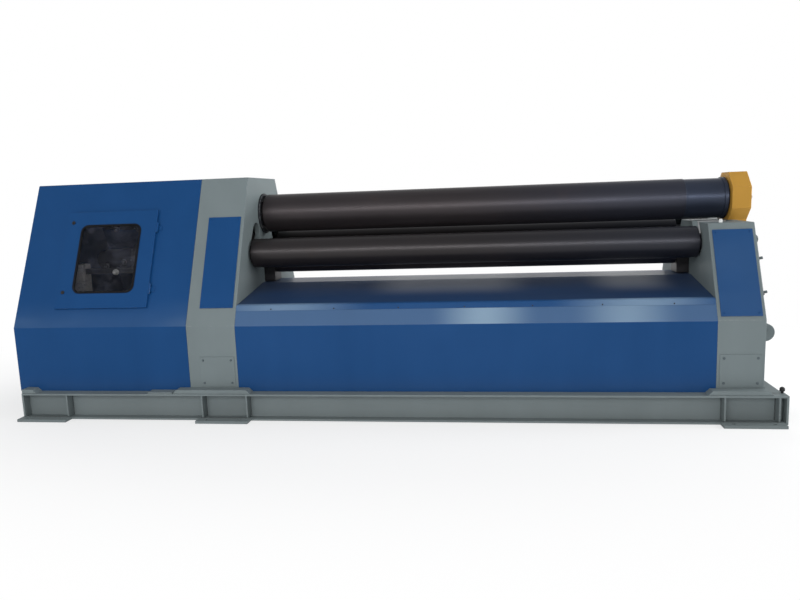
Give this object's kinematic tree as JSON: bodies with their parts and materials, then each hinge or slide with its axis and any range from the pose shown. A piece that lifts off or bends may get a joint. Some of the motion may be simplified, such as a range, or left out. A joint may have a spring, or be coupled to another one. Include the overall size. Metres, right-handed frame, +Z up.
{
  "type": "four-roll plate rolling machine",
  "caption": "Hydraulic four-roll plate bending machine with driven rolls, lifting side rolls, a drop head at one end, a sheet-metal drive cover with an inspection door, and a beam base.",
  "frame": {"origin": "on the floor, in the middle of the machine's length and depth", "axes": "+X along the rolls from the drive cover to the drop head, +Y to the rear, +Z up"},
  "size_m": [5.853, 2.022, 1.795],
  "materials": {
    "blue_paint": "satin enamel",
    "grey_paint": "satin enamel",
    "yellow_paint": "satin enamel",
    "dark_paint": "satin enamel",
    "roll_steel": "oiled forged steel",
    "machined_steel": "machined",
    "black_steel": "dull",
    "chromed_rod": "ground and chromed",
    "gear_casting": "painted casting",
    "bronze": "bearing bronze",
    "tank_paint": "satin enamel",
    "valve_block": "milled",
    "black_plastic": "moulded",
    "white_plastic": "moulded",
    "window_sheet": "clear",
    "rubber_seal": "extruded"
  },
  "bodies": {
    "machine": {"base_front_beam": "grey_paint", "base_rear_beam": "grey_paint", "base_cross_members": "grey_paint", "base_stiffeners": "grey_paint", "base_foot_plates": "grey_paint", "frame_toe_plates": "grey_paint", "base_end_knob": "black_plastic", "drive_frame": "grey_paint", "idle_frame": "grey_paint", "frame_slope_panels": "blue_paint", "frame_access_plates": "grey_paint", "grease_cap": "white_plastic", "tie_beam": "grey_paint", "front_apron": "blue_paint", "rear_apron": "blue_paint", "drive_cover": "blue_paint", "guide_rails": "machined_steel", "lift_cylinders": "dark_paint", "cylinder_seats": "grey_paint", "upper_bearing_rings": "machined_steel", "upper_bearing_cover": "dark_paint", "upper_gearbox": "gear_casting", "upper_drive_motor": "dark_paint", "torque_post": "grey_paint", "oil_tank": "tank_paint", "tank_filler_cap": "black_plastic", "pump_motor": "gear_casting", "hydraulic_pump": "dark_paint", "valve_manifold": "valve_block", "solenoid_valves": "dark_paint", "pivot_lugs": "grey_paint", "drop_head_pins": "machined_steel", "tilt_bracket": "grey_paint", "tilt_cylinder_rod": "chromed_rod", "door_hinge_brackets": "blue_paint", "door_hinge_pins": "machined_steel"},
    "upper_roll": {"upper_roll": "roll_steel"},
    "lower_carriage": {"lower_bearing_blocks": "black_steel", "lower_lift_rods": "chromed_rod", "lower_gearbox": "gear_casting", "lower_drive_motor": "dark_paint", "torque_arm": "grey_paint"},
    "lower_roll": {"lower_roll": "roll_steel"},
    "front_side_carriage": {"front_side_blocks": "black_steel", "front_side_rods": "chromed_rod"},
    "front_side_roll": {"front_side_roll": "roll_steel"},
    "rear_side_carriage": {"rear_side_blocks": "black_steel", "rear_side_rods": "chromed_rod"},
    "rear_side_roll": {"rear_side_roll": "roll_steel"},
    "drop_head": {"drop_head": "yellow_paint", "drop_head_bush": "bronze", "drop_head_cover": "yellow_paint"},
    "tilt_barrel": {"tilt_cylinder_barrel": "dark_paint", "tilt_clevis_pin": "machined_steel"},
    "inspection_door": {"inspection_door": "blue_paint", "inspection_window": "window_sheet", "window_seal": "rubber_seal", "door_hinge_knuckles": "blue_paint"},
    "upper_latch": {"upper_latch": "black_plastic"},
    "lower_latch": {"lower_latch": "black_plastic"}
  },
  "joints": [
    {"name": "upper_roll_spin", "type": "hinge", "parent": "machine", "child": "upper_roll", "pos_m": [0.5645, 0, 1.502], "axis": [1, 0, 0], "continuous": true},
    {"name": "lower_roll_lift", "type": "slide", "parent": "machine", "child": "lower_carriage", "axis": [0, 0, 1], "range_m": [0, 0.048]},
    {"name": "lower_roll_spin", "type": "hinge", "parent": "lower_carriage", "child": "lower_roll", "pos_m": [0.5645, 0, 1.146], "axis": [1, 0, 0], "continuous": true},
    {"name": "front_side_lift", "type": "slide", "parent": "machine", "child": "front_side_carriage", "axis": [0, 0.5736, 0.8192], "range_m": [0, 0.19]},
    {"name": "front_side_spin", "type": "hinge", "parent": "front_side_carriage", "child": "front_side_roll", "pos_m": [0.5645, -0.34, 1.195], "axis": [1, 0, 0], "continuous": true},
    {"name": "rear_side_lift", "type": "slide", "parent": "machine", "child": "rear_side_carriage", "axis": [0, -0.5736, 0.8192], "range_m": [-0.04, 0.15]},
    {"name": "rear_side_spin", "type": "hinge", "parent": "rear_side_carriage", "child": "rear_side_roll", "pos_m": [0.5645, 0.31706, 1.22777], "axis": [1, 0, 0], "continuous": true},
    {"name": "drop_head_tilt", "type": "hinge", "parent": "machine", "child": "drop_head", "pos_m": [2.6645, 0, 1.06], "axis": [0, 1, 0], "range_deg": [0, 85]},
    {"name": "tilt_barrel_slide", "type": "slide", "parent": "machine", "child": "tilt_barrel", "axis": [0.1591, 0, -0.9873], "range_m": [0, 0.18]},
    {"name": "door_swing", "type": "hinge", "parent": "machine", "child": "inspection_door", "pos_m": [-1.834, -0.63408, 1.20457], "axis": [0, 0.4178, 0.9085], "range_deg": [0, 110]},
    {"name": "upper_latch_turn", "type": "hinge", "parent": "inspection_door", "child": "upper_latch", "pos_m": [-2.5475, -0.50456, 1.48621], "axis": [0, -0.9085, 0.4178], "range_deg": [0, 90]},
    {"name": "lower_latch_turn", "type": "hinge", "parent": "inspection_door", "child": "lower_latch", "pos_m": [-2.5475, -0.74688, 0.95926], "axis": [0, -0.9085, 0.4178], "range_deg": [0, 90]}
  ],
  "couplings": [
    {"joint": "tilt_barrel_slide", "follows": "drop_head_tilt", "m_per_rad": 0.1208}
  ]
}
